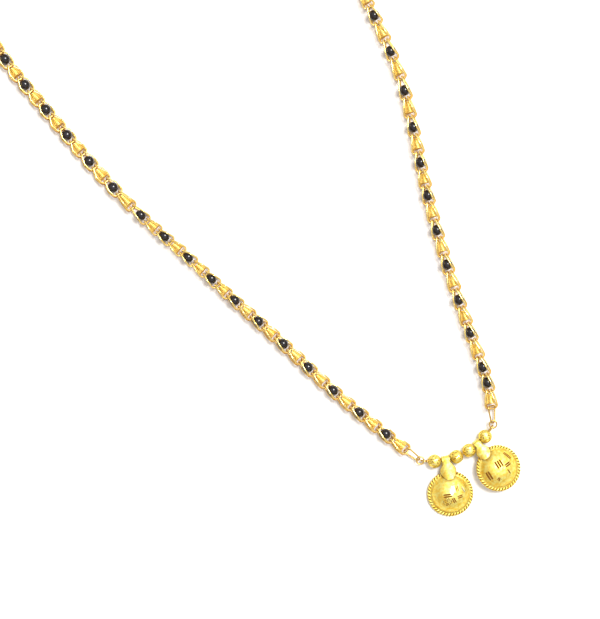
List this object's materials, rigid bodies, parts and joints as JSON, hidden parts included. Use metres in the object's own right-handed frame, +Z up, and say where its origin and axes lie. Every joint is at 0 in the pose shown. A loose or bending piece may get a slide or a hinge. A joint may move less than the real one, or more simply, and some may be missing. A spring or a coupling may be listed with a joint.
{
  "type": "mangalsutra",
  "caption": "Necklace laid flat as a whole loop: wire cage links holding black beads and coils in turn, gold balls and two domed cup pendants on petal bails.",
  "frame": {"origin": "middle of the bounding box at the level of the floor it lies on", "axes": "+Y from the pendants to the back of the neck, +Z up from the floor, +X to the right as seen from above"},
  "size_m": [0.0921, 0.2098, 0.0048],
  "materials": {
    "gold": "polished gold plate, frosted on the domes",
    "coil_gold": "gold plated wire, closely wound",
    "black_bead": "glossy opaque black glass"
  },
  "bodies": {
    "root": {"left_vati": "gold", "right_vati": "gold", "pendant_wire": "gold", "ball_1": "gold", "ball_2": "gold", "ball_3": "gold", "ball_4": "gold", "left_jump_ring": "gold", "right_jump_ring": "gold", "left_oval_link": "gold", "right_oval_link": "gold", "left_chain": "gold", "right_chain": "gold", "left_clasp_ring": "gold", "right_clasp_ring": "gold", "clasp_hook": "gold", "left_coils": "coil_gold", "right_coils": "coil_gold", "left_black_beads": "black_bead", "right_black_beads": "black_bead"}
  },
  "joints": []
}
